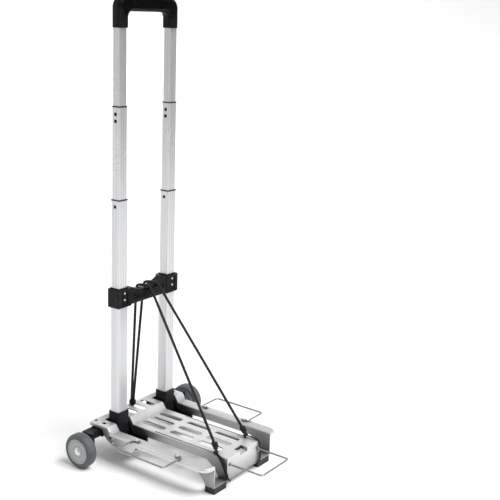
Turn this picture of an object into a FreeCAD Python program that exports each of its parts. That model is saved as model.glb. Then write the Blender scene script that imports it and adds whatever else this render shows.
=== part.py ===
"""Folding luggage cart with a four-stage telescopic mast.

Millimetres, +Z up, +X to the right and -Y to the front, where the deck carries the load.
The origin is on the floor, under the middle of the whole cart.
"""
import FreeCAD, Part
import math
import os

import PartDesign
import Sketcher

Vector = FreeCAD.Vector
doc = FreeCAD.newDocument("luggage_cart")

# ---------------------------------------------------------------- driving dimensions
# Distances called front or back are measured from the mast's axis.
SIZES = {
    # deck, one pressed sheet
    "deck_width": 262, "deck_front": 289, "deck_back": 38.5, "deck_top": 66, "rear_rise": 15,
    "step_back": 13, "step_front": 24, "sheet_gauge": 2, "lip_drop": 8, "front_corner": 20,
    "channel_inner": 58, "channel_outer": 101, "channel_back": 21, "channel_edge": 3,
    "floor_length": 24, "wall_drop": 18, "skirt_drop": 24, "skirt_front": 96, "skirt_back": 4,
    # slots of the deck
    "slot_pitch": 30, "slot_wide": 15, "slot_first": 29, "slot_long": 65, "slot_step": 80.5,
    "rear_slot_front": 10, "rear_slot_back": 31, "edge_slot_x": 53, "edge_slot_wide": 3,
    "edge_slot_front": 255, "edge_slot_back": 84, "rail_hole": 8, "rail_hole_x": 118,
    "small_hole_back": 33, "small_hole_long": 6.5, "big_hole_back": 8, "big_hole_long": 10,
    "rivet_radius": 1.5, "rivet_head": 2.6, "rivet_spread": 7,
    "notch_wide": 27, "notch_long": 17, "notch_deep": 8,
    # feet and hinge blocks
    "foot_height": 15, "foot_long": 26, "block_front": 68, "hinge_height": 51, "pin_radius": 4,
    "pin_play": 0.05, "side_play": 0.5, "fit_gap": 0.1, "block_floor": 2.5, "block_low": 19, "block_lip": -1,
    # mast
    "socket_wall": 1.75, "socket_deep": 31, "socket_top": 102.5, "socket_seat": 69,
    "tube_wide": 30.5, "tube_deep": 26.5, "tube_corner": 4, "tube_wall": 0.8, "tube_gap": 0.5,
    "flute_wide": 2.2, "flute_deep": 0.25, "flute_pitch": 6.4,
    "crossbar_top": 387, "lower_top": 581, "middle_top": 777, "grip_low": 937,
    "lower_overlap": 76, "overlap": 36, "lower_lock_rise": 19,
    "collar_high": 2, "collar_proud": 0.5, "guide_foot": 6, "guide_stem": 30,
    "window": 7, "lock_drop": 13, "upper_lock_drop": 28.7, "peg_drop": 14.5,
    # crossbar
    "clamp_wide": 41, "clamp_high": 40.5, "clamp_front": 17.5, "clamp_back": 16,
    "web_front": 16.5, "web_back": 11.5, "dip_half": 54, "dip_deep": 14, "ring_x": 44,
    "web_high": 39.7, "ring_height": 367, "ring_radius": 7.5, "ring_hole": 3.5, "crossbar_screw_x": 54,
    "screw_radius": 1.5, "screw_head": 2.8, "recess_wide": 18, "recess_edge": 5,
    "clamp_window": 5, "clamp_window_drop": 9, "clamp_window_pitch": 15,
    # handle
    "handle_top": 1000, "handle_wide": 186, "handle_deep": 25, "grip_thick": 31,
    "leg_wide": 29.5, "handle_corner": 24, "inner_corner": 12, "handle_edge": 8,
    "button_long": 45, "handle_screw_x": 45, "button_wide": 10, "button_travel": 4, "rod_radius": 2,
    "link_high": 6, "link_wide": 6, "link_level": 978,
    # wheels and their arms
    "wheel_radius": 38.5, "wheel_wide": 26, "wheel_face": 196, "axle_back": 15,
    "hub_radius": 28, "tyre_shoulder": 5, "axle_radius": 4, "bearing_radius": 11,
    "bearing_wide": 7, "arm_back": 33, "arm_front": 9, "arm_low": 54, "arm_top": 70,
    "arm_end": 161, "arm_leg": 9, "arm_pivot_x": 118, "leg_back": 27, "leg_front": 4,
    "pivot_radius": 3, "bracket_gauge": 2, "bracket_half": 10, "bracket_gap": 0.7,
    # wire frames
    "wire_radius": 1.9, "wire_bend": 6, "wing_hinge_x": 119, "wing_reach": 178,
    "wing_front": 214, "wing_back": 82, "wing_stub": 16, "wing_lift": 2.3, "loop_wall": 1.6,
    "loop_play": 0.25, "loop_long": 8, "front_wire_x": 49.5, "front_wire_reach": 83,
    "front_wire_height": 50.5, "front_wire_tail": 250, "wire_guide_long": 25, "stop_radius": 3.4,
    # elastic cords
    "cord_radius": 3, "tail_radius": 1.25,
}

sheet = doc.addObject("Spreadsheet::Sheet", "Sizes")
for row, (alias, number) in enumerate(SIZES.items(), start=1):
    sheet.set(f"A{row}", alias)
    sheet.set(f"B{row}", str(number))
    sheet.setAlias(f"B{row}", alias)
doc.recompute()


class Dim:
    """A size: its value, and the expression that gives it from the sheet."""

    def __init__(self, text, value):
        self.text, self.value = text, float(value)

    @staticmethod
    def of(thing):
        return thing if isinstance(thing, Dim) else Dim(repr(float(thing)), thing)

    def join(self, sign, other, value):
        return Dim(f"({self.text} {sign} {Dim.of(other).text})", value)

    def __add__(self, other):
        return self.join("+", other, self.value + Dim.of(other).value)

    def __radd__(self, other):
        return Dim.of(other) + self

    def __sub__(self, other):
        return self.join("-", other, self.value - Dim.of(other).value)

    def __rsub__(self, other):
        return Dim.of(other) - self

    def __mul__(self, other):
        return self.join("*", other, self.value * Dim.of(other).value)

    def __rmul__(self, other):
        return Dim.of(other) * self

    def __truediv__(self, other):
        return self.join("/", other, self.value / Dim.of(other).value)

    def __neg__(self):
        return 0 - self

    def __float__(self):
        return self.value


class Sizes:
    """Reads a size from the sheet by its alias."""

    def __getattr__(self, alias):
        return Dim("Sizes." + alias, sheet.get(alias))


sz = Sizes()
SIDES = {"left": -1, "right": 1}

# ---------------------------------------------------------------- places worked out from them
front_reach = sz.deck_front + sz.front_wire_reach + sz.wire_radius
mast_y = (front_reach - sz.axle_back - sz.wheel_radius) / 2
rear_top = sz.deck_top + sz.rear_rise
tube_x = (sz.channel_inner + sz.channel_outer) / 2
channel_wide = sz.channel_outer - sz.channel_inner
floor_top = sz.foot_height + sz.sheet_gauge
wall_low = sz.deck_top - sz.wall_drop
pivot_height = (sz.arm_low + sz.arm_top) / 2
stage_shrink = 2 * (sz.tube_wall + sz.tube_gap)
socket_wide = sz.tube_wide + 2 * sz.socket_wall
outer_top = sz.crossbar_top
wing_height = sz.deck_top + sz.wing_lift
rivet_y = mast_y + (sz.arm_front + sz.arm_back) / 2

parts = []


def bind(thing, prop, size):
    """Binds a property to a size, or sets it when the size is a plain number."""
    thing.setExpression(prop, Dim.of(size).text)


def keep(thing, label):
    """Names an object as a sub-part of the cart."""
    thing.Label = label
    parts.append(thing)
    return thing


def loose_body(label, at=(0, 0, 0)):
    """A body that is not a sub-part by itself."""
    body = doc.addObject("PartDesign::Body", label)
    for axis, place in zip("xyz", at):
        bind(body, "Placement.Base." + axis, place)
    return body


def new_body(label, at=(0, 0, 0)):
    return keep(loose_body(label, at), label)


def new_sketch(body, plane, level):
    """A sketch on one of the body's own planes, moved along +X, +Y or +Z to a level."""
    sketch = body.newObject("Sketcher::SketchObject", body.Label + "_sketch")
    support = next(face for face in body.Origin.OriginFeatures if face.Role == plane + "_Plane")
    sketch.AttachmentSupport = [(support, "")]
    sketch.MapMode = "FlatFace"
    bind(sketch, "AttachmentOffset.Base.z", -level if plane == "XZ" else level)
    return sketch


def draw_outline(sketch, corners):
    """A closed outline, each corner held by its two distances from the sketch's origin."""
    points = [Vector(float(u), float(v), 0) for u, v in corners]
    first = sketch.GeometryCount
    for start, end in zip(points, points[1:] + points[:1]):
        sketch.addGeometry(Part.LineSegment(start, end))
    count = len(points)
    for index, (u, v) in enumerate(corners):
        line, following = first + index, first + (index + 1) % count
        sketch.addConstraint(Sketcher.Constraint("Coincident", line, 2, following, 1))
        for kind, size in (("DistanceX", u), ("DistanceY", v)):
            number = sketch.addConstraint(Sketcher.Constraint(kind, -1, 1, line, 1, float(size)))
            sketch.setExpression(f"Constraints[{number}]", Dim.of(size).text)


def draw_circle(sketch, centre, radius):
    u, v = centre
    circle = sketch.addGeometry(
        Part.Circle(Vector(float(u), float(v), 0), Vector(0, 0, 1), float(radius)))
    for constraint, size in (
            (Sketcher.Constraint("DistanceX", -1, 1, circle, 3, float(u)), u),
            (Sketcher.Constraint("DistanceY", -1, 1, circle, 3, float(v)), v),
            (Sketcher.Constraint("Radius", circle, float(radius)), radius)):
        number = sketch.addConstraint(constraint)
        sketch.setExpression(f"Constraints[{number}]", Dim.of(size).text)


def draw_rounded(sketch, wide, deep, radius):
    """A rectangle with round corners, centred on the sketch's origin."""
    half_wide, half_deep, round_off = float(wide) / 2, float(deep) / 2, float(radius)
    flat_wide, flat_deep = half_wide - round_off, half_deep - round_off
    runs = [((-flat_wide, -half_deep), (flat_wide, -half_deep)),
            ((half_wide, -flat_deep), (half_wide, flat_deep)),
            ((flat_wide, half_deep), (-flat_wide, half_deep)),
            ((-half_wide, flat_deep), (-half_wide, -flat_deep))]
    centres = [(flat_wide, -flat_deep), (flat_wide, flat_deep),
               (-flat_wide, flat_deep), (-flat_wide, -flat_deep)]
    lines, arcs = [], []
    for number, ((start, end), centre) in enumerate(zip(runs, centres)):
        lines.append(sketch.addGeometry(Part.LineSegment(Vector(*start, 0), Vector(*end, 0))))
        circle = Part.Circle(Vector(*centre, 0), Vector(0, 0, 1), round_off)
        turn = math.pi / 2 * (number - 1)
        arcs.append(sketch.addGeometry(Part.ArcOfCircle(circle, turn, turn + math.pi / 2)))
    for number, line in enumerate(lines):
        sketch.addConstraint(Sketcher.Constraint("Tangent", line, 2, arcs[number], 1))
        sketch.addConstraint(Sketcher.Constraint("Tangent", arcs[number], 2, lines[(number + 1) % 4], 1))
        sketch.addConstraint(Sketcher.Constraint("Vertical" if number % 2 else "Horizontal", line))
        kind = "DistanceX" if number % 2 else "DistanceY"
        place = [-deep / 2, wide / 2, deep / 2, -wide / 2][number]
        held = sketch.addConstraint(Sketcher.Constraint(kind, -1, 1, line, 1, float(place)))
        sketch.setExpression(f"Constraints[{held}]", place.text)
        held = sketch.addConstraint(Sketcher.Constraint("Radius", arcs[number], round_off))
        sketch.setExpression(f"Constraints[{held}]", Dim.of(radius).text)


def rectangle(u_low, u_high, v_low, v_high):
    return [(u_low, v_low), (u_high, v_low), (u_high, v_high), (u_low, v_high)]


def finish_feature(body, feature):
    """Makes a new feature the body's last one and works it out."""
    body.Tip = feature
    doc.recompute()
    if "Invalid" in feature.State:
        raise RuntimeError(f"{feature.Label} could not be made")


def extrude(body, plane, draw, low, high, cut=False):
    """Adds or cuts a prism of a drawn outline, from one level to another along the plane's axis."""
    along_normal = plane != "XZ"
    sketch = new_sketch(body, plane, high if cut == along_normal else low)
    draw(sketch)
    kind = "PartDesign::Pocket" if cut else "PartDesign::Pad"
    before = body.Shape.Volume if cut else 0
    feature = body.newObject(kind, body.Label + ("_pocket" if cut else "_pad"))
    feature.Profile = sketch
    bind(feature, "Length", Dim.of(high) - low)
    sketch.Visibility = False
    finish_feature(body, feature)
    if cut and body.Shape.Volume >= before:
        raise RuntimeError(f"{body.Label}: a pocket removed nothing")
    return feature


def add_block(body, plane, corners, low, high):
    return extrude(body, plane, lambda sketch: draw_outline(sketch, corners), low, high)


def cut_block(body, plane, corners, low, high):
    return extrude(body, plane, lambda sketch: draw_outline(sketch, corners), low, high, cut=True)


def add_disc(body, plane, centre, radius, low, high):
    return extrude(body, plane, lambda sketch: draw_circle(sketch, centre, radius), low, high)


def cut_disc(body, plane, centre, radius, low, high):
    return extrude(body, plane, lambda sketch: draw_circle(sketch, centre, radius), low, high,
                   cut=True)


def add_bar(body, wide, deep, radius, low, high):
    """A bar of rounded rectangular section along the body's Z axis."""
    return extrude(body, "XY", lambda sketch: draw_rounded(sketch, wide, deep, radius), low, high)


def cut_bar(body, wide, deep, radius, low, high):
    return extrude(body, "XY", lambda sketch: draw_rounded(sketch, wide, deep, radius), low, high,
                   cut=True)


def revolve(body, corners):
    """Turns an outline drawn as (radius, place along X) about the body's X axis."""
    sketch = new_sketch(body, "XY", 0)
    draw_outline(sketch, [(along, radius) for radius, along in corners])
    feature = body.newObject("PartDesign::Revolution", body.Label + "_revolution")
    feature.Profile = sketch
    feature.ReferenceAxis = (sketch, ["H_Axis"])
    feature.Angle = 360
    sketch.Visibility = False
    finish_feature(body, feature)
    return feature


def edges_where(shape, test):
    return [f"Edge{number}" for number, edge in enumerate(shape.Edges, start=1) if test(edge)]


def runs_along(edge, axis):
    """True for a straight edge that runs along an axis."""
    if not isinstance(edge.Curve, Part.Line):
        return False
    return abs(abs(edge.Curve.Direction.dot(axis)) - 1) < 1e-6


def fillet(body, radius, test):
    """Rounds the edges of the body that pass a test."""
    base = body.Tip
    feature = body.newObject("PartDesign::Fillet", body.Label + "_fillet")
    feature.Base = (base, edges_where(base.Shape, test))
    bind(feature, "Radius", radius)
    finish_feature(body, feature)
    return feature


ALONG_X, ALONG_Y, ALONG_Z = Vector(1, 0, 0), Vector(0, 1, 0), Vector(0, 0, 1)


def cylinder(name, radius, length, at, axis):
    """A Part cylinder that starts at a place and runs along +X, +Y or +Z."""
    solid = doc.addObject("Part::Cylinder", name)
    bind(solid, "Radius", radius)
    bind(solid, "Height", length)
    turn = {"X": FreeCAD.Rotation(ALONG_Y, 90), "Y": FreeCAD.Rotation(ALONG_X, -90),
            "Z": FreeCAD.Rotation()}[axis]
    solid.Placement = FreeCAD.Placement(Vector(), turn)
    for letter, place in zip("xyz", at):
        bind(solid, "Placement.Base." + letter, place)
    return solid


def fuse(name, *solids):
    joined = doc.addObject("Part::MultiFuse", name)
    joined.Shapes = list(solids)
    return joined


def group(label, solids):
    """Several identical pieces kept as one sub-part of separate solids."""
    together = doc.addObject("Part::Compound", label)
    together.Links = solids
    return keep(together, label)


def free_form(label, shape):
    """A piece whose shape is built here and not by a feature."""
    feature = doc.addObject("Part::Feature", label)
    feature.Shape = shape
    feature.Placement = FreeCAD.Placement()
    return keep(feature, label)


def bent_path(points, radius):
    """Straight runs joined by tangent arcs. The radius is one number, or one for each corner."""
    places = [Vector(*[float(part) for part in point]) for point in points]
    corners = len(places) - 2
    radii = radius if isinstance(radius, (list, tuple)) else [float(radius)] * corners
    edges, start = [], places[0]
    for before, corner, after, bend in zip(places, places[1:], places[2:], radii):
        to_corner, from_corner = (corner - before).normalize(), (after - corner).normalize()
        half_turn = to_corner.getAngle(from_corner) / 2
        reach = bend * math.tan(half_turn)
        arc_start, arc_end = corner - to_corner * reach, corner + from_corner * reach
        inward = (from_corner - to_corner).normalize()
        middle = corner + inward * (bend / math.cos(half_turn) - bend)
        edges.append(Part.LineSegment(start, arc_start).toShape())
        edges.append(Part.Arc(arc_start, middle, arc_end).toShape())
        start = arc_end
    edges.append(Part.LineSegment(start, places[-1]).toShape())
    return Part.Wire(edges)


def round_bar(points, bend, thickness):
    """A bar of round section along a bent path."""
    path = bent_path(points, bend)
    direction = path.Edges[0].tangentAt(path.Edges[0].FirstParameter)
    section = Part.Wire(Part.Circle(path.Vertexes[0].Point, direction, float(thickness)).toShape())
    return path.makePipeShell([section], True, False)


# ---------------------------------------------------------------- deck
def box_between(low, high):
    low, high = Vector(*map(float, low)), Vector(*map(float, high))
    size = high - low
    return Part.makeBox(size.x, size.y, size.z, low)


def side_prism(outline, half_width, inner=0.0):
    """A solid of a Y-Z outline, |x| from inner to half_width, on one side or on both."""
    face = Part.Face(Part.makePolygon([Vector(0, float(y), float(z)) for y, z in outline + outline[:1]]))
    if float(inner) == 0:
        face.translate(Vector(-float(half_width), 0, 0))
        return face.extrude(Vector(2 * float(half_width), 0, 0))
    pieces = []
    for side in SIDES.values():
        copy = face.copy()
        copy.translate(Vector(side * float(inner), 0, 0))
        pieces.append(copy.extrude(Vector(side * (float(half_width) - float(inner)), 0, 0)))
    return pieces[0].fuse(pieces[1])


def top_line(drop, inset):
    """The deck's top seen from the side, lowered and drawn in, from the back to the front."""
    slope = math.atan2(float(sz.rear_rise), float(sz.step_front - sz.step_back))
    shift = drop * math.tan(slope / 2)
    return [(mast_y + sz.deck_back - inset, rear_top - drop),
            (mast_y - sz.step_back - shift, rear_top - drop),
            (mast_y - sz.step_front - shift, sz.deck_top - drop),
            (mast_y - sz.deck_front + inset, sz.deck_top - drop)]


def deck_block(inset, corner):
    """The deck as a full block down to the feet, drawn in on every side."""
    line = top_line(inset, inset)
    outline = line + [(line[-1][0], sz.foot_height), (line[0][0], sz.foot_height)]
    block = side_prism(outline, sz.deck_width / 2 - inset)
    front = float(mast_y - sz.deck_front + inset)
    corners = [edge for edge in block.Edges if runs_along(edge, ALONG_Z)
               and abs(edge.CenterOfMass.y - front) < 0.01]
    return block.makeFillet(corner, corners)


def channel_void(grow):
    """The two channels, wider and deeper by the amount given, open to the front and the top."""
    voids = []
    for side in SIDES.values():
        across = sorted((side * (sz.channel_inner - grow).value, side * (sz.channel_outer + grow).value))
        voids.append(box_between((across[0], mast_y - sz.deck_front - 1, floor_top - grow),
                                 (across[1], mast_y + sz.channel_back + grow, rear_top + 1)))
    return voids[0].fuse(voids[1])


def slot(x, back, front, width):
    """A slot through the deck with round ends, given by how far it starts and ends in front."""
    half = float(width) / 2
    y_low, y_high = float(mast_y - front) + half, float(mast_y - back) - half
    low, high = float(sz.deck_top) - 8, float(rear_top) + 1
    cutter = box_between((x - half, y_low, low), (x + half, y_high, high))
    for y in (y_low, y_high):
        cutter = cutter.fuse(Part.makeCylinder(half, high - low, Vector(x, y, low)))
    return cutter


def rivet_places(side):
    """Where along X the two rivets of one arm bracket stand."""
    middle = float(sz.arm_pivot_x) * side
    return [middle - float(sz.rivet_spread), middle + float(sz.rivet_spread)]


def deck_slots():
    cutters = []
    for column in (-1, 0, 1):
        x = float(sz.slot_pitch) * column
        cutters.append(slot(x, -sz.rear_slot_back, sz.rear_slot_front, sz.slot_wide))
        for row_number in range(3):
            start = sz.slot_first + sz.slot_step * row_number
            cutters.append(slot(x, start, start + sz.slot_long, sz.slot_wide))
    for side in SIDES.values():
        x = float(sz.edge_slot_x) * side
        cutters.append(slot(x, sz.edge_slot_back, sz.edge_slot_front, sz.edge_slot_wide))
        half = sz.rail_hole.value / 2
        centre = float(sz.rail_hole_x) * side
        for behind, long in ((sz.small_hole_back, sz.small_hole_long), (sz.big_hole_back, sz.big_hole_long)):
            y = mast_y + behind
            cutters.append(box_between((centre - half, y - long / 2, rear_top - 6),
                                       (centre + half, y + long / 2, rear_top + 1)))
        skirt = sorted((side * float(sz.deck_width / 2 - 4), side * float(sz.deck_width / 2 + 1)))
        cutters.append(box_between((skirt[0], mast_y - 25, sz.deck_top - 10),
                                   (skirt[1], mast_y - 18, sz.deck_top + 5)))
        for x in rivet_places(side):
            cutters.append(Part.makeCylinder(float(sz.rivet_radius + sz.pin_play), 8,
                                             Vector(x, float(rivet_y), float(rear_top) - 7)))
        hinge = float(sz.wing_hinge_x) * side
        for y in wing_loops():
            cutters.append(box_between((hinge - 2.2, y - 6, sz.deck_top - 4),
                                       (hinge + 2.2, y + 6, sz.deck_top + 0.2)))
    return cutters


def wing_loops():
    """Where along Y the loops that hold the side wings stand."""
    inner = sz.wire_radius + 2 + sz.loop_long / 2 + 1
    return [float(mast_y - sz.wing_back - inner), float(mast_y - sz.wing_front + inner)]


def wire_loops():
    """The arches raised from the rails over the stubs of the side wings."""
    arches = []
    bore = float(sz.wire_radius + sz.loop_play)
    outside = bore + float(sz.loop_wall)
    half = float(sz.loop_long) / 2
    for side in SIDES.values():
        x = float(sz.wing_hinge_x) * side
        for y in wing_loops():
            crown = Part.makeCylinder(outside, 2 * half, Vector(x, y - half, float(wing_height)), ALONG_Y)
            legs = box_between((x - outside, y - half, sz.deck_top - sz.sheet_gauge),
                               (x + outside, y + half, wing_height))
            hole = Part.makeCylinder(bore, 4 * half, Vector(x, y - 2 * half, float(wing_height)), ALONG_Y)
            gap = box_between((x - bore, y - 2 * half, sz.deck_top - sz.sheet_gauge - 1),
                              (x + bore, y + 2 * half, wing_height))
            arches.append(crown.fuse(legs).cut(hole).cut(gap))
    return arches


def lower_trim():
    """What is cut away under the deck: below the lips, and below the channels' walls."""
    below = float(sz.foot_height) - 5
    front = mast_y - sz.deck_front
    lip = top_line(0, -1)
    under_lips = [(y, z - sz.lip_drop) for y, z in lip] + [(lip[-1][0], below), (lip[0][0], below)]
    rails = side_prism(under_lips, sz.deck_width / 2 + 1, sz.channel_outer + sz.sheet_gauge)
    middle = [point for point in under_lips]
    middle[3] = (front + sz.sheet_gauge * 2, sz.deck_top - sz.lip_drop)
    middle[4] = (front + sz.sheet_gauge * 2, below)
    middle = side_prism(middle, sz.channel_inner - sz.sheet_gauge)
    curve_start = front + sz.floor_length
    walls = Part.makePolygon([Vector(0, float(y), float(z)) for y, z in (
        (curve_start, below), (curve_start, floor_top + 1), (curve_start + 8, floor_top + 14),
        (curve_start + 30, wall_low), (mast_y + sz.deck_back + 1, wall_low),
        (mast_y + sz.deck_back + 1, below), (curve_start, below))])
    face = Part.Face(walls)
    outer = float(sz.channel_outer + sz.sheet_gauge) + 0.01
    face.translate(Vector(-outer, 0, 0))
    return [rails, middle, face.extrude(Vector(2 * outer, 0, 0))]


def side_skirts():
    """The flat skirts below the rails, beside the hinge blocks."""
    low = sz.deck_top - sz.skirt_drop
    outline = [(mast_y - sz.step_front, sz.deck_top - 1), (mast_y - sz.step_back, rear_top - 3),
               (mast_y + sz.skirt_back, rear_top - 3), (mast_y - sz.skirt_back, low + 18),
               (mast_y - 14, low + 9), (mast_y - 28, low + 3), (mast_y - 45, low),
               (mast_y - sz.skirt_front + 10, low), (mast_y - sz.skirt_front, low + 14),
               (mast_y - sz.skirt_front - 2, sz.deck_top - 4)]
    return side_prism(outline, sz.deck_width / 2, sz.deck_width / 2 - sz.sheet_gauge)


def long_edges(shape, places, tolerance=0.01):
    """The edges of the top skin that follow the deck lengthways at the given |x|."""
    chosen = []
    for edge in shape.Edges:
        box = edge.BoundBox
        if box.XLength < tolerance and box.YLength > 1 and box.ZMin > float(sz.deck_top) - 1:
            if any(abs(abs(box.XMin) - place) < tolerance for place in places):
                chosen.append(edge)
    return chosen


def make_deck():
    gauge = float(sz.sheet_gauge)
    corner = float(sz.front_corner)
    upper = deck_block(0.0, corner).cut(channel_void(0.0))
    rim = long_edges(upper, [float(sz.channel_inner), float(sz.channel_outer)])
    rim += long_edges(upper, [float(sz.deck_width) / 2])
    upper = upper.makeFillet(float(sz.channel_edge), rim)
    lower = deck_block(gauge, corner - gauge).cut(channel_void(gauge))
    notch_half, front = float(sz.notch_wide) / 2, mast_y - sz.deck_front
    notch = box_between((-notch_half, front - 1, sz.deck_top - sz.notch_deep),
                        (notch_half, front + sz.notch_long, rear_top))
    under_notch = box_between((-notch_half - gauge, front, sz.deck_top - sz.notch_deep - gauge),
                              (notch_half + gauge, front + sz.notch_long + gauge, rear_top))
    pressed = upper.cut(notch).cut(lower.cut(under_notch))
    pressed = pressed.cut(lower_trim())
    pressed = pressed.fuse(side_skirts().common(upper))
    cutters = deck_slots()
    for side in SIDES.values():
        across = sorted((side * 40.0, side * 110.0))
        cutters.append(Part.makeCylinder(
            float(sz.pin_radius + sz.pin_play), across[1] - across[0],
            Vector(across[0], float(mast_y), float(sz.hinge_height)), ALONG_X))
        cutters.append(Part.makeCylinder(
            float(sz.wire_radius) + 1.5, 20,
            Vector(side * float(sz.front_wire_x), float(front) - 10, float(sz.front_wire_height)), ALONG_Y))
    pressed = pressed.cut(cutters).fuse(wire_loops())
    return pressed.removeSplitter()


deck_shape = make_deck()
free_form("deck", deck_shape.Solids[0] if len(deck_shape.Solids) == 1 else deck_shape)

# ---------------------------------------------------------------- feet and hinge blocks
for side_name, side in SIDES.items():
    foot = new_body("foot_" + side_name, (tube_x * side, mast_y - sz.deck_front, 0))
    half = channel_wide / 2
    add_block(foot, "XY", rectangle(-half, half, 0, sz.foot_long), 0, sz.foot_height)
    fillet(foot, 2.0, lambda edge: runs_along(edge, ALONG_Z))
    fillet(foot, 1.0, lambda edge: edge.BoundBox.ZMax < 0.01)

    block = new_body("hinge_block_" + side_name, (tube_x * side, mast_y, sz.hinge_height))
    half = channel_wide / 2 - sz.fit_gap
    cheek_top = rear_top - sz.hinge_height - 4
    front_top = sz.block_lip
    back = sz.channel_back - sz.fit_gap
    add_block(block, "YZ", [
        (back, cheek_top), (-sz.step_back, cheek_top), (-sz.step_front - 4, front_top),
        (-sz.block_front, front_top), (-sz.block_front, -sz.block_low),
        (back - 9, -sz.block_low), (back, 9 - sz.block_low)], -half, half)
    inner = socket_wide / 2 + sz.side_play
    cut_block(block, "XY", rectangle(-inner, inner, -sz.block_front - 1, back - 3),
              sz.block_floor - sz.block_low, cheek_top + 1)
    cut_disc(block, "YZ", (0, 0), sz.pin_radius + sz.pin_play, -half - 1, half + 1)

hinge_pins = []
for side_name, side in SIDES.items():
    wall = sz.sheet_gauge
    reach = channel_wide + 2 * wall
    start = tube_x * side - reach / 2
    shaft = cylinder("pin_shaft_" + side_name, sz.pin_radius, reach + 4,
                     (start - 2, mast_y, sz.hinge_height), "X")
    heads = [cylinder(f"pin_head_{side_name}_{name}", sz.pin_radius + 2, 2,
                      (x, mast_y, sz.hinge_height), "X")
             for name, x in (("low", start - 2), ("high", start + reach))]
    hinge_pins.append(fuse("hinge_pin_" + side_name, shaft, *heads))
group("hinge_pins", hinge_pins)


# ---------------------------------------------------------------- mast tubes
def make_tube(label, side, stage, bottom, top, windows=(), inner_windows=()):
    """One fluted tube of the mast; each stage inward is smaller by two walls and two gaps.

    Windows for the lock pins are cut in its -X face, and inner windows in its +X face.
    """
    wide, deep = sz.tube_wide - stage_shrink * stage, sz.tube_deep - stage_shrink * stage
    corner = sz.tube_corner - (sz.tube_wall + sz.tube_gap) * stage * 0.5
    tube = new_body(label, (tube_x * side, mast_y, bottom))
    length = top - bottom
    add_bar(tube, wide, deep, corner, 0, length)

    def draw_flutes(sketch):
        depth, half = sz.flute_deep, sz.flute_wide / 2
        for step in (-1, 0, 1):
            middle = sz.flute_pitch * step
            for face in (-1, 1):
                surface = deep / 2 * face
                draw_outline(sketch, rectangle(middle - half, middle + half,
                                               surface - depth, surface + depth))
        for step in (-0.5, 0.5):
            middle = sz.flute_pitch * step
            for face in (-1, 1):
                surface = wide / 2 * face
                draw_outline(sketch, rectangle(surface - depth, surface + depth,
                                               middle - half, middle + half))

    extrude(tube, "XY", draw_flutes, -1, length + 1, cut=True)
    cut_bar(tube, wide - 2 * sz.tube_wall, deep - 2 * sz.tube_wall, corner - sz.tube_wall,
            -1, length + 1)
    half = sz.window / 2
    near, far = wide / 2 - sz.tube_wall - 0.3, wide / 2 + 1
    for facing, heights in ((-1, windows), (1, inner_windows)):
        for height in heights:
            across = sorted((near * facing, far * facing), key=float)
            cut_block(tube, "XY", rectangle(*across, -half, half),
                      height - bottom - half, height - bottom + half)
    return tube


lower_bottom = outer_top - sz.lower_overlap
middle_bottom = sz.lower_top - sz.overlap
upper_bottom = sz.middle_top - sz.overlap
lower_lock, middle_lock = lower_bottom + sz.lower_lock_rise, sz.lower_top - sz.lock_drop
upper_lock, upper_peg = sz.middle_top - sz.upper_lock_drop, sz.middle_top - sz.peg_drop
upper_end = sz.link_level - sz.button_travel - 3

for side_name, side in SIDES.items():
    make_tube("outer_tube_" + side_name, side, 0, sz.socket_seat, outer_top, [], [lower_lock])
    make_tube("lower_tube_" + side_name, side, 1, lower_bottom, sz.lower_top,
              [middle_lock], [lower_lock])
    make_tube("middle_tube_" + side_name, side, 2, middle_bottom, sz.middle_top,
              [upper_lock, upper_peg, middle_lock])
    make_tube("upper_tube_" + side_name, side, 3, upper_bottom, upper_end, [upper_lock, upper_peg])

    socket = new_body("socket_" + side_name, (tube_x * side, mast_y, sz.hinge_height))
    half, deep = socket_wide / 2, sz.socket_deep / 2
    add_bar(socket, socket_wide, sz.socket_deep, 3, 0, sz.socket_top - sz.hinge_height)
    add_disc(socket, "YZ", (0, 0), deep, -half, half)
    cut_bar(socket, sz.tube_wide + 2 * sz.fit_gap, sz.tube_deep + 2 * sz.fit_gap, 2,
            sz.socket_seat - sz.hinge_height, sz.socket_top - sz.hinge_height + 1)
    cut_disc(socket, "YZ", (0, 0), sz.pin_radius + sz.pin_play, -half - 1, half + 1)


def make_collars(label, stage, level):
    """The pair of collars that close the gap at the top of one stage's tubes."""
    collars = []
    for side_name, side in SIDES.items():
        wide = sz.tube_wide - stage_shrink * stage + 2 * sz.collar_proud
        deep = sz.tube_deep - stage_shrink * stage + 2 * sz.collar_proud
        gap = 2 * (sz.tube_wall + sz.collar_proud + sz.tube_gap - sz.fit_gap * 2)
        solids = []
        for name, (across, through), low, high in (
                ("ring", (wide, deep), 0, sz.collar_high),
                ("bore", (wide - gap, deep - gap), -1, sz.collar_high + 1)):
            box = doc.addObject("Part::Box", f"{label}_{name}_{side_name}")
            bind(box, "Length", across)
            bind(box, "Width", through)
            bind(box, "Height", Dim.of(high) - low)
            bind(box, "Placement.Base.x", tube_x * side - across / 2)
            bind(box, "Placement.Base.y", mast_y - through / 2)
            bind(box, "Placement.Base.z", level + low)
            doc.recompute()
            rounding = doc.addObject("Part::Fillet", f"{label}_{name}_round_{side_name}")
            rounding.Base = box
            radius = 3.0 if name == "ring" else 1.0
            rounding.Edges = [(number, radius, radius) for number, edge
                              in enumerate(box.Shape.Edges, start=1) if runs_along(edge, ALONG_Z)]
            solids.append(rounding)
        ring = doc.addObject("Part::Cut", f"{label}_{side_name}")
        ring.Base, ring.Tool = solids
        collars.append(ring)
    return group(label, collars)


make_collars("outer_collars", 0, outer_top)
make_collars("lower_collars", 1, sz.lower_top)
make_collars("middle_collars", 2, sz.middle_top)


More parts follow.
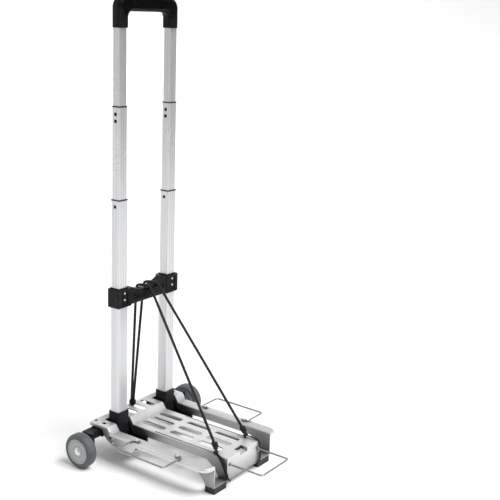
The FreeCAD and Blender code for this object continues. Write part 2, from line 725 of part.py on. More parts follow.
def make_guide(label, side, stage, facing, bottom, lock, peg=None):
    """The plug in the lower end of a sliding tube: a foot that fits the tube outside, and a stem.

    Its lock pin looks out along X, to the left where facing is -1.
    """
    foot_wide = sz.tube_wide - stage_shrink * (stage - 1) - 2 * sz.tube_wall - 2 * sz.fit_gap
    foot_deep = sz.tube_deep - stage_shrink * (stage - 1) - 2 * sz.tube_wall - 2 * sz.fit_gap
    stem_wide = sz.tube_wide - stage_shrink * stage - 2 * sz.tube_wall - 2 * sz.fit_gap
    stem_deep = sz.tube_deep - stage_shrink * stage - 2 * sz.tube_wall - 2 * sz.fit_gap
    guide = loose_body(label, (tube_x * side, mast_y, bottom))
    corner = sz.tube_corner - (sz.tube_wall + sz.tube_gap) * stage * 0.5
    add_bar(guide, foot_wide, foot_deep, corner, -sz.guide_foot, 0)
    add_bar(guide, stem_wide, stem_deep, corner - sz.tube_wall, -1, sz.guide_stem)
    half = sz.window / 2
    wide = sz.tube_wide - stage_shrink * stage
    pin_slot = sorted((Dim.of(0), (stem_wide / 2 + 1) * facing), key=float)
    cut_block(guide, "XY", rectangle(*pin_slot, -half, half), lock - bottom - half, lock - bottom + half)
    cut_block(guide, "XY", rectangle(-rod_space, rod_space, -rod_space, rod_space),
              lock - bottom, sz.guide_stem + 1)
    if peg is not None:
        inner = half - sz.fit_gap
        add_block(guide, "XY", rectangle(-wide / 2 + sz.flute_deep, -stem_wide / 2 + 1, -inner, inner),
                  peg - bottom - inner, peg - bottom + inner)
    return guide


def make_lock_pins(label, stage, facing, lock):
    """The pair of square lock pins of one stage, drawn back flush with their tube."""
    pins = []
    wide = sz.tube_wide - stage_shrink * stage
    size = sz.window - 2 * sz.fit_gap
    for side_name, side in SIDES.items():
        pin = doc.addObject("Part::Box", f"{label}_{side_name}")
        bind(pin, "Length", wide / 2 - sz.flute_deep - 3)
        bind(pin, "Width", size)
        bind(pin, "Height", size)
        outer = wide / 2 - sz.flute_deep
        bind(pin, "Placement.Base.x", tube_x * side + (-outer if facing < 0 else Dim.of(3)))
        bind(pin, "Placement.Base.y", mast_y - size / 2)
        bind(pin, "Placement.Base.z", lock - size / 2)
        pins.append(pin)
    return group(label, pins)


rod_space = sz.rod_radius + 0.5
for stage_name, stage, facing, bottom, lock, peg in (
        ("lower", 1, 1, lower_bottom, lower_lock, None),
        ("middle", 2, -1, middle_bottom, middle_lock, None),
        ("upper", 3, -1, upper_bottom, upper_lock, upper_peg)):
    group(stage_name + "_guides", [
        make_guide(f"{stage_name}_guide_{side_name}", side, stage, facing, bottom, lock, peg)
        for side_name, side in SIDES.items()])
    make_lock_pins(stage_name + "_lock_pins", stage, facing, lock)


# ---------------------------------------------------------------- crossbar
crossbar_screw_height = sz.crossbar_top - sz.clamp_high + 9


def screw(name, at_x, head_y, height, length):
    """A screw that runs forward from its head, along -Y."""
    shaft = cylinder(name + "_shaft", sz.screw_radius, length, (at_x, head_y - length, height), "Y")
    head = cylinder(name + "_head", sz.screw_head, 1.7, (at_x, head_y, height), "Y")
    return fuse(name, shaft, head)


def make_crossbar(label, y_low, y_high, clamp_edge, web_edge):
    """One half of the crossbar: two clamps round the tubes and the dipped web between them."""
    bar = new_body(label, (0, mast_y, 0))
    bottom = sz.crossbar_top - sz.clamp_high
    inner_edge = tube_x - sz.clamp_wide / 2 + 1
    web_low, web_high = sorted((web_edge, Dim.of(0)), key=float)
    add_block(bar, "XY", rectangle(-inner_edge, inner_edge, web_low, web_high),
              sz.crossbar_top - sz.web_high, sz.crossbar_top)
    dip_radius = (sz.dip_half * sz.dip_half + sz.dip_deep * sz.dip_deep) / (2 * sz.dip_deep)
    cut_disc(bar, "XZ", (0, sz.crossbar_top - sz.dip_deep + dip_radius), dip_radius,
             y_low - 1, y_high + 1)
    fillet(bar, 4.0, lambda edge: abs(edge.CenterOfMass.y - float(web_edge)) < 0.01
           and edge.BoundBox.XLength > 20)
    clamp_low, clamp_high = sorted((clamp_edge, Dim.of(0)), key=float)
    for side in SIDES.values():
        centre = tube_x * side
        edges = rectangle(centre - sz.clamp_wide / 2, centre + sz.clamp_wide / 2, clamp_low, clamp_high)
        add_block(bar, "XY", edges, bottom, sz.crossbar_top)
    fillet(bar, 3.5, lambda edge: runs_along(edge, ALONG_Z)
           and abs(edge.CenterOfMass.y - float(clamp_edge)) < 0.01
           and abs(edge.CenterOfMass.x) > float(tube_x))
    for side in SIDES.values():
        bore_wide, bore_deep = sz.tube_wide / 2 + sz.fit_gap, sz.tube_deep / 2 + sz.fit_gap
        centre = tube_x * side
        low, high = sorted((0 if float(clamp_edge) > 0 else -bore_deep,
                            bore_deep if float(clamp_edge) > 0 else 0), key=float)
        cut_block(bar, "XY", rectangle(centre - bore_wide, centre + bore_wide, low, high),
                  bottom - 1, sz.crossbar_top + 1)
        sign = 1 if float(clamp_edge) > 0 else -1
        recess_low, recess_high = sorted((web_edge - 3 * sign, web_edge + sign), key=float)
        cut_disc(bar, "XZ", (sz.ring_x * side, sz.ring_height), sz.ring_radius, recess_low, recess_high)
        boss_low, boss_high = sorted((web_edge - 3.5 * sign, web_edge - sign * 0.5), key=float)
        add_disc(bar, "XZ", (sz.ring_x * side, sz.ring_height), sz.ring_radius - 2, boss_low, boss_high)
        cut_disc(bar, "XZ", (sz.ring_x * side, sz.ring_height), sz.ring_hole, y_low - 1, y_high + 1)
        if sign < 0:
            front, pane = -sz.clamp_front, sz.clamp_window / 2
            cut_block(bar, "XZ", rectangle(centre - sz.recess_wide / 2, centre + sz.recess_wide / 2,
                                           bottom + sz.recess_edge, sz.crossbar_top - sz.recess_edge),
                      front - 1, front + 1)
            for drop in (sz.clamp_window_drop, sz.clamp_window_drop + sz.clamp_window_pitch):
                height = sz.crossbar_top - drop
                cut_block(bar, "XZ", rectangle(centre - pane, centre + pane, height - pane, height + pane),
                          front - 1, -bore_deep + 1)
        place = (sz.crossbar_screw_x * side, crossbar_screw_height)
        cut_disc(bar, "XZ", place, sz.screw_radius + sz.pin_play, -sz.web_front + 3, sz.web_back + 1)
        if sign > 0:
            cut_disc(bar, "XZ", place, sz.screw_head + sz.pin_play, sz.web_back - 2.5, sz.web_back + 1)
    return bar


make_crossbar("crossbar_front", -sz.clamp_front, Dim.of(0), -sz.clamp_front, -sz.web_front)
make_crossbar("crossbar_back", Dim.of(0), sz.clamp_back, sz.clamp_back, sz.web_back)
group("crossbar_screws", [
    screw("crossbar_screw_" + name, sz.crossbar_screw_x * side, mast_y + sz.web_back - 2.5,
          crossbar_screw_height, sz.web_back + sz.web_front - 6)
    for name, side in SIDES.items()])


# ---------------------------------------------------------------- handle
leg_inner = sz.handle_wide / 2 - sz.leg_wide
grip_bottom = sz.handle_top - sz.grip_thick
handle_half = sz.handle_deep / 2
handle_screw_height = sz.handle_top - 11


def make_handle_shell(label, facing):
    """One half of the arched handle, split in the plane of the tubes; facing is -1 or 1."""
    shell = new_body(label, (0, mast_y, 0))

    def depths(near, far):
        """Levels along Y, given as distances from the split towards this shell's outside."""
        return sorted((Dim.of(near) * facing, Dim.of(far) * facing), key=float)

    half = sz.handle_wide / 2
    add_block(shell, "XZ", rectangle(-half, half, sz.grip_low, sz.handle_top), *depths(0, handle_half))
    fillet(shell, sz.handle_corner, lambda edge: runs_along(edge, ALONG_Y)
           and edge.CenterOfMass.z > float(sz.handle_top) - 0.01)
    cut_block(shell, "XZ", rectangle(-leg_inner, leg_inner, sz.grip_low - 1, grip_bottom),
              *depths(-1, handle_half + 1))
    fillet(shell, sz.inner_corner, lambda edge: runs_along(edge, ALONG_Y)
           and abs(edge.CenterOfMass.z - float(grip_bottom)) < 0.01)
    outside = float(handle_half) * facing
    fillet(shell, sz.handle_edge, lambda edge: abs(edge.CenterOfMass.y - outside) < 0.01
           and edge.BoundBox.YLength < 0.01 and edge.CenterOfMass.z > float(sz.grip_low) + 1)
    wide = sz.tube_wide - stage_shrink * 3 + 2 * sz.fit_gap
    deep = sz.tube_deep - stage_shrink * 3 + 2 * sz.fit_gap
    for side in SIDES.values():
        centre = tube_x * side
        cut_block(shell, "XZ", rectangle(centre - wide / 2, centre + wide / 2, sz.grip_low - 1,
                                         upper_end + sz.fit_gap), *depths(-1, deep / 2))
    link_room = sz.link_wide / 2 + 0.5
    link_reach = tube_x + sz.rod_radius + 2
    link_floor = sz.link_level - sz.button_travel - 0.5
    cut_block(shell, "XZ", rectangle(-link_reach, link_reach, link_floor,
                                     sz.link_level + sz.link_high + 0.5), *depths(-1, link_room))
    for side in SIDES.values():
        centre = tube_x * side
        cut_block(shell, "XZ", rectangle(centre - 3, centre + 3, upper_end - 1, link_floor + 1),
                  *depths(-1, 3))
    button_half = sz.button_long / 2 + 0.4
    cut_block(shell, "XZ", rectangle(-button_half, button_half, sz.link_level, sz.handle_top + 1),
              *depths(-1, sz.button_wide / 2 + 0.4))
    cut_block(shell, "XZ", rectangle(-4.5, 4.5, spring_floor, link_floor + 1), *depths(-1, 4.5))
    for side in SIDES.values():
        place = (sz.handle_screw_x * side, handle_screw_height)
        cut_disc(shell, "XZ", place, sz.screw_radius + sz.pin_play,
                 *((-handle_half + 4, 1) if facing < 0 else (-1, handle_half + 1)))
        if facing > 0:
            cut_disc(shell, "XZ", place, sz.screw_head + sz.pin_play, handle_half - 3, handle_half + 1)
    return shell


spring_floor = grip_bottom + 2
make_handle_shell("handle_front", -1)
make_handle_shell("handle_back", 1)
group("handle_screws", [
    screw("handle_screw_" + name, sz.handle_screw_x * side, mast_y + handle_half - 3,
          handle_screw_height, sz.handle_deep - 8)
    for name, side in SIDES.items()])

button = new_body("release_button", (0, mast_y, sz.link_level + sz.link_high))
add_bar(button, sz.button_long, sz.button_wide, 3, 0, sz.handle_top - sz.link_level - sz.link_high - 1)
fillet(button, 1.2, lambda edge: edge.BoundBox.ZMin
       > float(sz.handle_top - sz.link_level - sz.link_high) - 1.01)

link_bar = doc.addObject("Part::Box", "link_bar")
link_half = tube_x + sz.rod_radius + 1
for prop, size in (("Length", link_half * 2), ("Width", sz.link_wide), ("Height", sz.link_high),
                   ("Placement.Base.x", -link_half), ("Placement.Base.y", mast_y - sz.link_wide / 2),
                   ("Placement.Base.z", sz.link_level)):
    bind(link_bar, prop, size)

rod_bottom = upper_lock + sz.window / 2 + 2 + sz.button_travel
keep(fuse("push_rods", link_bar, *[
    cylinder("push_rod_" + name, sz.rod_radius, sz.link_level - rod_bottom + 1,
             (tube_x * side, mast_y, rod_bottom), "Z")
    for name, side in SIDES.items()]), "push_rods")

spring_high = sz.link_level - spring_floor - 1
spring_at = (0, mast_y, spring_floor + 0.5)
spring = doc.addObject("Part::Cut", "button_spring")
spring.Base = cylinder("spring_outside", 3.4, spring_high, spring_at, "Z")
spring.Tool = cylinder("spring_inside", 2.6, spring_high, spring_at, "Z")
keep(spring, "button_spring")


# ---------------------------------------------------------------- wheels and their arms
wheel_inner = sz.wheel_face - sz.wheel_wide
hub_inset = 1
bearing_start = wheel_inner + hub_inset


def mirrored(side, outline):
    """An outline of (radius, place along the axle from the wheel's inner face), for one side."""
    return [(radius, Dim.of(along) * side) for radius, along in outline]


for side_name, side in SIDES.items():
    axle = (wheel_inner * side, mast_y + sz.axle_back, sz.wheel_radius)
    tyre = new_body("tyre_" + side_name, axle)
    revolve(tyre, mirrored(side, [(sz.hub_radius, 0), (sz.wheel_radius, 0),
                                  (sz.wheel_radius, sz.wheel_wide), (sz.hub_radius, sz.wheel_wide)]))
    fillet(tyre, sz.tyre_shoulder, lambda edge: abs(edge.BoundBox.ZMax - float(sz.wheel_radius)) < 0.01
           and edge.BoundBox.XLength < 0.01)

    hub = new_body("hub_" + side_name, axle)
    rim = sz.hub_radius - 0.05
    seat = sz.bearing_radius + sz.pin_play
    outer_face = sz.wheel_wide - 2
    revolve(hub, mirrored(side, [
        (seat, hub_inset), (rim, hub_inset), (rim, outer_face + 1), (rim - 3, outer_face + 1),
        (rim - 3, outer_face - 0.6), (rim - 5, outer_face - 0.6), (rim - 5, outer_face + 0.4),
        (rim - 7, outer_face + 0.4), (rim - 7, outer_face - 0.4), (seat, outer_face - 0.4),
        (seat, outer_face - sz.bearing_wide), (seat - 2, outer_face - sz.bearing_wide),
        (seat - 2, hub_inset + sz.bearing_wide), (seat, hub_inset + sz.bearing_wide)]))

    rings = []
    for name, start in (("inner", hub_inset), ("outer", outer_face - sz.bearing_wide)):
        near = (wheel_inner + start) * side
        low = near if side > 0 else near - sz.bearing_wide
        at = (low, mast_y + sz.axle_back, sz.wheel_radius)
        ring = doc.addObject("Part::Cut", f"bearing_{name}_{side_name}")
        ring.Base = cylinder(f"bearing_body_{name}_{side_name}", sz.bearing_radius, sz.bearing_wide,
                             at, "X")
        ring.Tool = cylinder(f"bearing_bore_{name}_{side_name}", sz.axle_radius + sz.pin_play,
                             sz.bearing_wide, at, "X")
        rings.append(ring)
    group("bearings_" + side_name, rings)

    stretches = (("shaft", sz.axle_radius, sz.arm_end - sz.arm_leg - 4, wheel_inner + outer_face + 0.1),
                 ("nut", sz.axle_radius + 2.8, sz.arm_end - sz.arm_leg - 4, sz.arm_end - sz.arm_leg),
                 ("spacer", sz.axle_radius + 2, sz.arm_end, bearing_start - 0.1),
                 ("head", sz.axle_radius + 1.2, wheel_inner + outer_face + 0.1,
                  wheel_inner + outer_face + 2.6))
    group_of_bolt = []
    for name, radius, near, far in stretches:
        low, high = sorted((near * side, far * side), key=float)
        group_of_bolt.append(cylinder(f"axle_{name}_{side_name}", radius, high - low,
                                      (low, mast_y + sz.axle_back, sz.wheel_radius), "X"))
    keep(fuse("axle_bolt_" + side_name, *group_of_bolt), "axle_bolt_" + side_name)

    arm = new_body("wheel_arm_" + side_name, (0, mast_y, 0))
    near, far = sorted((sz.arm_pivot_x * side, sz.arm_end * side), key=float)
    add_block(arm, "XZ", rectangle(near, far, sz.arm_low, sz.arm_top), sz.arm_front, sz.arm_back)
    leg_low, leg_high = sorted(((sz.arm_end - sz.arm_leg) * side, sz.arm_end * side), key=float)
    add_block(arm, "XZ", rectangle(leg_low, leg_high, sz.wheel_radius, sz.arm_top),
              sz.leg_front, sz.leg_back)
    add_disc(arm, "YZ", (sz.axle_back, sz.wheel_radius), (sz.leg_back - sz.leg_front) / 2,
             leg_low, leg_high)
    pivot = (sz.arm_pivot_x * side, pivot_height)
    add_disc(arm, "XZ", pivot, (sz.arm_top - sz.arm_low) / 2, sz.arm_front, sz.arm_back)
    cut_disc(arm, "XZ", pivot, sz.pivot_radius + sz.pin_play, sz.arm_front - 1, sz.arm_back + 1)
    cut_disc(arm, "YZ", (sz.axle_back, sz.wheel_radius), sz.axle_radius + sz.pin_play,
             leg_low - 1, leg_high + 1)

    bracket = new_body("arm_bracket_" + side_name, (sz.arm_pivot_x * side, mast_y, pivot_height))
    half = sz.bracket_half
    inside_front, inside_back = sz.arm_front - sz.bracket_gap, sz.arm_back + sz.bracket_gap
    web_top = rear_top - sz.sheet_gauge - pivot_height
    add_block(bracket, "XY", rectangle(-half, half, inside_front - sz.bracket_gauge,
                                       inside_back + sz.bracket_gauge), -half, web_top)
    cut_block(bracket, "XY", rectangle(-half - 1, half + 1, inside_front, inside_back),
              -half - 1, web_top - sz.bracket_gauge)
    cut_disc(bracket, "XZ", (0, 0), sz.pivot_radius + sz.pin_play, 0, sz.arm_back + 10)
    for spread in (-sz.rivet_spread, sz.rivet_spread):
        cut_disc(bracket, "XY", (spread, (sz.arm_front + sz.arm_back) / 2),
                 sz.rivet_radius + sz.pin_play, web_top - sz.bracket_gauge - 1, web_top + 1)

pivot_pins = []
for side_name, side in SIDES.items():
    x = sz.arm_pivot_x * side
    front = mast_y + sz.arm_front - sz.bracket_gap - sz.bracket_gauge
    back = mast_y + sz.arm_back + sz.bracket_gap + sz.bracket_gauge
    shaft = cylinder("pivot_shaft_" + side_name, sz.pivot_radius, back - front + 2.4,
                     (x, front - 1.2, pivot_height), "Y")
    heads = [cylinder(f"pivot_head_{name}_{side_name}", sz.pivot_radius + 1.5, 1.2,
                      (x, y, pivot_height), "Y") for name, y in (("front", front - 1.2), ("back", back))]
    pivot_pins.append(fuse("pivot_pin_" + side_name, shaft, *heads))
group("arm_pivot_pins", pivot_pins)

rivets = []
for side_name, side in SIDES.items():
    for name, spread in (("inner", -sz.rivet_spread), ("outer", sz.rivet_spread)):
        x = sz.arm_pivot_x * side + spread
        bottom = rear_top - sz.sheet_gauge - sz.bracket_gauge
        shaft = cylinder(f"rivet_shaft_{name}_{side_name}", sz.rivet_radius, rear_top - bottom + 1.6,
                         (x, rivet_y, bottom - 0.8), "Z")
        heads = [cylinder(f"rivet_head_{level}_{name}_{side_name}", sz.rivet_head, 0.8,
                          (x, rivet_y, z), "Z") for level, z in (("low", bottom - 0.8), ("top", rear_top))]
        rivets.append(fuse(f"rivet_{name}_{side_name}", shaft, *heads))
group("bracket_rivets", rivets)


# ---------------------------------------------------------------- wire frames
for side_name, side in SIDES.items():
    hinge, reach = sz.wing_hinge_x * side, sz.wing_reach * side
    back, front = mast_y - sz.wing_back, mast_y - sz.wing_front
    free_form("wing_" + side_name, round_bar([
        (hinge, back - sz.wing_stub, wing_height), (hinge, back, wing_height),
        (reach, back, wing_height), (reach, front, wing_height),
        (hinge, front, wing_height), (hinge, front + sz.wing_stub, wing_height)],
        sz.wire_bend, sz.wire_radius))

guide_front = mast_y - sz.deck_front + sz.sheet_gauge + 0.2
wire_tail, wire_front = mast_y - sz.front_wire_tail, mast_y - sz.deck_front - sz.front_wire_reach
front_bar = round_bar([(-sz.front_wire_x, wire_tail, sz.front_wire_height),
                       (-sz.front_wire_x, wire_front, sz.front_wire_height),
                       (sz.front_wire_x, wire_front, sz.front_wire_height),
                       (sz.front_wire_x, wire_tail, sz.front_wire_height)],
                      sz.wire_bend, sz.wire_radius)
stops = [Part.makeCylinder(float(sz.stop_radius), 4,
                           Vector(float(sz.front_wire_x) * side,
                                  float(guide_front + sz.wire_guide_long) + 0.3,
                                  float(sz.front_wire_height)), ALONG_Y) for side in SIDES.values()]
free_form("front_wire", front_bar.fuse(stops))

guides = []
for side_name, side in SIDES.items():
    box = doc.addObject("Part::Box", "wire_guide_box_" + side_name)
    half = 6
    low = sz.deck_top - sz.sheet_gauge - sz.fit_gap
    bind(box, "Length", 2 * half)
    bind(box, "Width", sz.wire_guide_long)
    bind(box, "Height", low - sz.front_wire_height + half)
    bind(box, "Placement.Base.x", sz.front_wire_x * side - half)
    bind(box, "Placement.Base.y", guide_front)
    bind(box, "Placement.Base.z", sz.front_wire_height - half)
    guide = doc.addObject("Part::Cut", "wire_guide_" + side_name)
    guide.Base = box
    guide.Tool = cylinder("wire_guide_bore_" + side_name, sz.wire_radius + 0.25, sz.wire_guide_long,
                          (sz.front_wire_x * side, guide_front, sz.front_wire_height), "Y")
    guides.append(guide)
group("wire_guides", guides)


# ---------------------------------------------------------------- elastic cords
# Each point is x, the distance behind the mast's axis, and the height. The middle of each cord
# goes over the crossbar's dip, and a thin tail runs on from its knot to hook on the deck's front.
CORDS = {
    "left": {"cord": [(-4.2, 30, 94), (-8, 15.2, 378), (1, -16.5, 378), (-51.5, -245.5, 92)],
             "tail": [(-57.5, -257, 71.5), (-61.5, -270, 64), (-61.5, -292, 22), (-53, -292, 17.5)]},
    "right": {"cord": [(2.2, 30, 94), (17, 15.2, 380), (27, -16.5, 380), (48.5, -245.5, 92)],
              "tail": [(51, -257, 71.5), (53, -274, 69.5), (54, -292, 68.6), (57, -292, 22),
                       (50, -292, 17)]},
}
CORD_BEND = 9
TAIL_BEND = 4
KNOT_RADIUS, KNOT_LONG, BALL_RADIUS = 6.5, 21, 5.5


def on_mast(points):
    return [(x, float(mast_y) + behind, height) for x, behind, height in points]


for side_name, routes in CORDS.items():
    tubes = {}
    for name, thickness, bend in (("cord", sz.cord_radius, CORD_BEND), ("tail", sz.tail_radius, TAIL_BEND)):
        points = on_mast(routes[name])
        length = bent_path(points, bend).Length
        tubes[name] = round_bar(points, bend, thickness)
        print(f"{name} {side_name}: length {length:.1f}, bend {bend}, "
              f"volume {tubes[name].Volume:.0f} of {length * math.pi * float(thickness) ** 2:.0f}")
    free_form("cord_" + side_name, tubes["cord"])
    *_, before, end = [Vector(*point) for point in on_mast(routes["cord"])]
    along = (end - before).normalize()
    knot = Part.makeCylinder(KNOT_RADIUS, KNOT_LONG, end, along)
    ball = Part.makeSphere(BALL_RADIUS, Vector(*on_mast(routes["tail"])[0]))
    free_form("cord_knot_" + side_name, knot.fuse([ball, tubes["tail"]]))

# The rear knot: a coil under the cords' ends, and its stem through the deck's small slot.
CORD_END = 94
COIL_RADIUS, COIL_HIGH, COIL_GAP = 8, 10.3, 0.7
STEM_RADIUS, STEM_LONG, STEM_BELOW = 5, 20, 13
coil = Part.makeCylinder(COIL_RADIUS, COIL_HIGH,
                         Vector(-1, float(mast_y) + 30, CORD_END - COIL_GAP - COIL_HIGH))
stem = Part.makeCylinder(STEM_RADIUS, STEM_LONG,
                         Vector(-1, float(mast_y) + 24, float(rear_top) - STEM_BELOW))
free_form("cord_anchor", coil.fuse(stem))


# ---------------------------------------------------------------- checks and files
doc.recompute()
for thing in doc.Objects:
    if "Invalid" in thing.State or "Error" in thing.State:
        raise RuntimeError(f"{thing.Label} is {thing.State}")
os.makedirs("parts", exist_ok=True)
for part in parts:
    if part.Shape.isNull() or not part.Shape.isValid():
        raise RuntimeError(f"{part.Label} has no valid shape")
    part.Shape.exportStep(f"parts/{part.Label}.step")
print(len(parts), "sub-parts")
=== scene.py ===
"""Folding luggage cart: looks, light and camera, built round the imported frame. Metres."""
import math

import bpy
from mathutils import Matrix, Vector


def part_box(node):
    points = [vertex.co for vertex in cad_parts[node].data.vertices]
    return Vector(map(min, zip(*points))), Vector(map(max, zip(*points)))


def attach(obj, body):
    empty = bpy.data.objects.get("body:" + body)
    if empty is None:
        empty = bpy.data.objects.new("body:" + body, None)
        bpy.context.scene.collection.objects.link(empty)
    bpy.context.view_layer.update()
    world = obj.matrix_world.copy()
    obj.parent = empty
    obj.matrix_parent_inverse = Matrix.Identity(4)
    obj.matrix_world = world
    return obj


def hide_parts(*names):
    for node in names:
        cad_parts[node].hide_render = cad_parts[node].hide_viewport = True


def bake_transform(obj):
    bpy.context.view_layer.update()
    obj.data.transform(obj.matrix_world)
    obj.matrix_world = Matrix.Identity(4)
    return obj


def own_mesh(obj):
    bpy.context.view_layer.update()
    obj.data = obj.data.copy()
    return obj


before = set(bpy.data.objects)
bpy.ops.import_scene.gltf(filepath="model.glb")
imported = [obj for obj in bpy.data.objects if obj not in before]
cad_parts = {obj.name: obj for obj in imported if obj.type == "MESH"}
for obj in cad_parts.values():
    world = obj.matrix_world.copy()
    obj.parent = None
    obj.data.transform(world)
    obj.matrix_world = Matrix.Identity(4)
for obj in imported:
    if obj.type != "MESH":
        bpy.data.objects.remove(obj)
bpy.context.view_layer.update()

SIDES = {"left": -1, "right": 1}

# ---------------------------------------------------------------- places read from the frame
tube_low, tube_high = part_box("outer_tube_left")
MAST_Y = (tube_low.y + tube_high.y) / 2
DECK_LOW, DECK_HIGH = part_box("deck")


def on_mast(x, behind, height):
    """A point given in millimetres: x, the distance behind the mast's axis, and the height."""
    return Vector((x / 1000, MAST_Y + behind / 1000, height / 1000))


# ---------------------------------------------------------------- camera
CAMERA_AZIMUTH, CAMERA_ELEVATION, CAMERA_ROLL = math.radians(-55.17), math.radians(14.27), math.radians(2.14)
CAMERA_TARGET = Vector((0.4109, MAST_Y, 0.3803))
CAMERA_DISTANCE = 2.461
CAMERA_LENS = 68.78


def make_camera():
    flat = math.cos(CAMERA_ELEVATION)
    back = Vector((math.sin(CAMERA_AZIMUTH) * flat, -math.cos(CAMERA_AZIMUTH) * flat,
                   math.sin(CAMERA_ELEVATION)))
    right = Vector((0, 0, 1)).cross(back).normalized()
    up = back.cross(right)
    turned_right = right * math.cos(CAMERA_ROLL) + up * math.sin(CAMERA_ROLL)
    turned_up = up * math.cos(CAMERA_ROLL) - right * math.sin(CAMERA_ROLL)
    data = bpy.data.cameras.new("camera")
    data.lens = CAMERA_LENS
    data.sensor_width = 36
    data.clip_end = 50
    camera = bpy.data.objects.new("camera", data)
    bpy.context.scene.collection.objects.link(camera)
    basis = Matrix((turned_right, turned_up, back)).transposed().to_4x4()
    camera.matrix_world = Matrix.Translation(CAMERA_TARGET + back * CAMERA_DISTANCE) @ basis
    bpy.context.scene.camera = camera


make_camera()


# ---------------------------------------------------------------- materials
class Nodes:
    """A material's node tree, written as calls that each return an output socket."""

    def __init__(self, name):
        self.material = bpy.data.materials.new(name)
        self.material.use_nodes = True
        self.tree = self.material.node_tree
        self.shader = self.tree.nodes["Principled BSDF"]
        self.coords = self.tree.nodes.new("ShaderNodeTexCoord")

    def node(self, kind, output, settings=None, **inputs):
        node = self.tree.nodes.new(kind)
        for key, value in (settings or {}).items():
            setattr(node, key, value)
        for key, value in inputs.items():
            by_number = key[0] == "i" and key[1:].isdigit()
            socket = node.inputs[int(key[1:]) if by_number else key.replace("_", " ")]
            if isinstance(value, bpy.types.NodeSocket):
                self.tree.links.new(value, socket)
            else:
                socket.default_value = value
        return node.outputs[output]

    def stretched(self, scale, source="Object"):
        return self.node("ShaderNodeMapping", "Vector", Vector=self.coords.outputs[source], Scale=scale)

    def noise(self, scale, detail=3.0, roughness=0.55, vector=None):
        vector = vector or self.coords.outputs["Object"]
        return self.node("ShaderNodeTexNoise", "Fac", Vector=vector, Scale=scale, Detail=detail,
                         Roughness=roughness)

    def spread(self, value, low, high, start=0.3, end=0.7):
        """Maps a pattern onto a range of numbers."""
        return self.node("ShaderNodeMapRange", "Result", Value=value, From_Min=start, From_Max=end,
                         To_Min=low, To_Max=high)

    def blend_colours(self, factor, first, second):
        ramp = self.tree.nodes.new("ShaderNodeValToRGB")
        ramp.color_ramp.elements[0].position, ramp.color_ramp.elements[1].position = 0.3, 0.7
        ramp.color_ramp.elements[0].color = (*first, 1)
        ramp.color_ramp.elements[1].color = (*second, 1)
        self.tree.links.new(factor, ramp.inputs["Fac"])
        return ramp.outputs["Color"]

    def painted_edge_highlight(self, colour, highlight_tone, low=0.505, high=0.56):
        """The colour, going to a lighter tone on the piece's outer edges: a painted highlight."""
        geometry = self.tree.nodes.new("ShaderNodeNewGeometry")
        amount = self.spread(geometry.outputs["Pointiness"], 0.0, 0.8, low, high)
        mix = self.tree.nodes.new("ShaderNodeMix")
        mix.data_type = "RGBA"
        self.tree.links.new(amount, mix.inputs["Factor"])
        self.tree.links.new(colour, mix.inputs[6])
        mix.inputs[7].default_value = (*highlight_tone, 1)
        return mix.outputs[2]

    def crevices(self, colour, reach, darkest):
        """The colour with shade painted in where walls stand close together, within reach."""
        nearby = self.tree.nodes.new("ShaderNodeAmbientOcclusion")
        nearby.samples = 16
        nearby.inputs["Distance"].default_value = reach
        shade = self.spread(nearby.outputs["AO"], darkest, 1.0, 0.45, 0.98)
        mix = self.tree.nodes.new("ShaderNodeMix")
        mix.data_type, mix.blend_type = "RGBA", "MULTIPLY"
        mix.inputs["Factor"].default_value = 1.0
        self.tree.links.new(colour, mix.inputs[6])
        self.tree.links.new(shade, mix.inputs[7])
        return mix.outputs[2]

    def bump(self, height, strength, distance, normal=None):
        node = self.tree.nodes.new("ShaderNodeBump")
        node.inputs["Strength"].default_value = strength
        node.inputs["Distance"].default_value = distance
        self.tree.links.new(height, node.inputs["Height"])
        if normal:
            self.tree.links.new(normal, node.inputs["Normal"])
        return node.outputs["Normal"]

    def finish(self, colour, roughness, normal=None, **fixed):
        for name, value in (("Base Color", colour), ("Roughness", roughness), ("Normal", normal)):
            if isinstance(value, bpy.types.NodeSocket):
                self.tree.links.new(value, self.shader.inputs[name])
            elif value is not None:
                self.shader.inputs[name].default_value = value
        for name, value in fixed.items():
            self.shader.inputs[name.replace("_", " ")].default_value = value
        return self.material


def deck_aluminium():
    n = Nodes("deck_aluminium")
    grain, cloud = n.noise(1500, 2.0), n.noise(30, 4.0)
    colour = n.blend_colours(n.noise(900, 2.0), (0.50, 0.505, 0.51), (0.60, 0.605, 0.61))
    # Lighter outer edges are a painted highlight, and the darkening where walls stand close is painted shade.
    colour = n.crevices(n.painted_edge_highlight(colour, (0.80, 0.80, 0.81)), 0.07, 0.12)
    normal = n.bump(cloud, 0.06, 0.002, n.bump(grain, 0.35, 0.0003))
    return n.finish(colour, n.spread(cloud, 0.3, 0.42), normal, Metallic=0.5)


def tube_aluminium():
    n = Nodes("tube_aluminium")
    lines = n.noise(1.0, 1.0, 0.5, n.stretched((700, 700, 0.5)))
    colour = n.blend_colours(lines, (0.66, 0.665, 0.675), (0.74, 0.745, 0.755))
    colour = n.crevices(colour, 0.0014, 0.35)
    return n.finish(colour, n.spread(n.noise(9, 2.0), 0.27, 0.29), None, Metallic=0.65)


def moulded(name, dark, light, rough_low, rough_high, grain=1400, depth=0.15, shine=0.1):
    """Moulded plastic with a fine spark-eroded grain and handled, slightly shinier patches."""
    n = Nodes(name)
    fine, patches = n.noise(grain, 2.0), n.noise(18, 4.0)
    # The lighter outer edges are a painted highlight.
    colour = n.painted_edge_highlight(n.blend_colours(patches, dark, light), tuple(min(1.0, 5 * part) for part in light))
    normal = n.bump(fine, depth, 0.00025)
    return n.finish(colour, n.spread(patches, rough_low, rough_high), normal, Specular_IOR_Level=shine)


def tyre_rubber():
    n = Nodes("tyre_rubber")
    fine, dust = n.noise(1100, 3.0), n.noise(60, 5.0)
    colour = n.blend_colours(dust, (0.062, 0.074, 0.076), (0.105, 0.12, 0.12))
    return n.finish(colour, n.spread(dust, 0.55, 0.72), n.bump(fine, 0.3, 0.0003))


